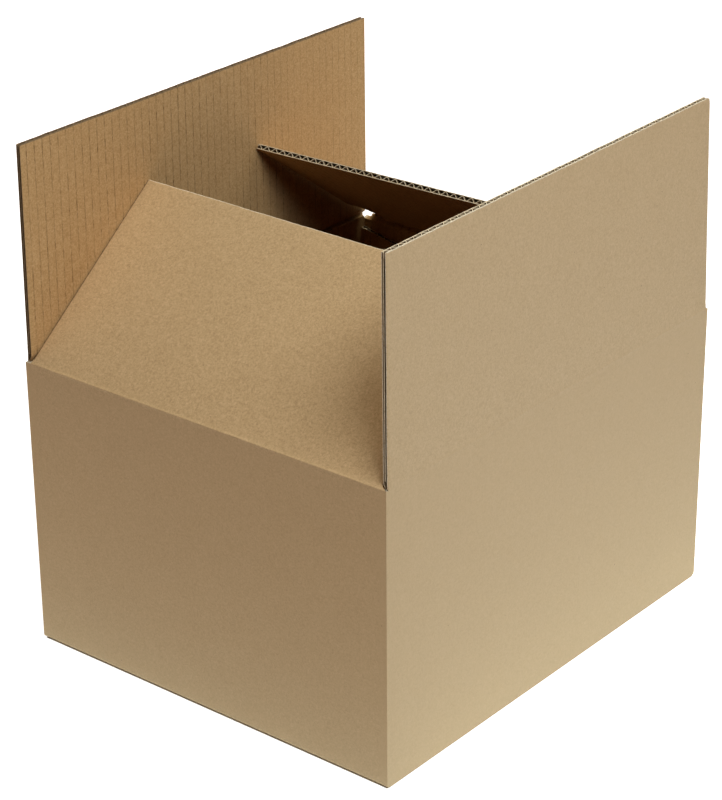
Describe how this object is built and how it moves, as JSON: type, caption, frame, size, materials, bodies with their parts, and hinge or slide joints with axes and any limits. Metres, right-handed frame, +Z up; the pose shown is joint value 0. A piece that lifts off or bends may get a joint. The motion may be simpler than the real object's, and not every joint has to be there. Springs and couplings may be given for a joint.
{
  "type": "open cardboard box",
  "caption": "Open slotted shipping box of fluted kraft board on a closed bottom, end flaps leaning in over the mouth and side flaps standing upright.",
  "frame": {"origin": "on the floor under the middle of the box", "axes": "+Z up, +Y from the front end wall to the back end wall, +X to the right side wall"},
  "size_m": [0.309, 0.359, 0.3655],
  "materials": {
    "kraft_board": "matt unbleached kraft paper"
  },
  "bodies": {
    "box_body": {"box_body": "kraft_board"},
    "front_flap": {"front_flap": "kraft_board"},
    "back_flap": {"back_flap": "kraft_board"},
    "right_flap": {"right_flap": "kraft_board"},
    "left_flap": {"left_flap": "kraft_board"}
  },
  "joints": [
    {"name": "front_flap_fold", "type": "hinge", "parent": "box_body", "child": "front_flap", "pos_m": [0, -0.179, 0.212], "axis": [-1, 0, 0], "range_deg": [-226.5, 38.5]},
    {"name": "back_flap_fold", "type": "hinge", "parent": "box_body", "child": "back_flap", "pos_m": [0, 0.179, 0.212], "axis": [1, 0, 0], "range_deg": [-228.7, 36.3]},
    {"name": "right_flap_fold", "type": "hinge", "parent": "box_body", "child": "right_flap", "pos_m": [0.154, 0, 0.212], "axis": [0, -1, 0], "range_deg": [-175.4, 0]},
    {"name": "left_flap_fold", "type": "hinge", "parent": "box_body", "child": "left_flap", "pos_m": [-0.154, 0, 0.212], "axis": [0, 1, 0], "range_deg": [-175.2, 0]}
  ]
}
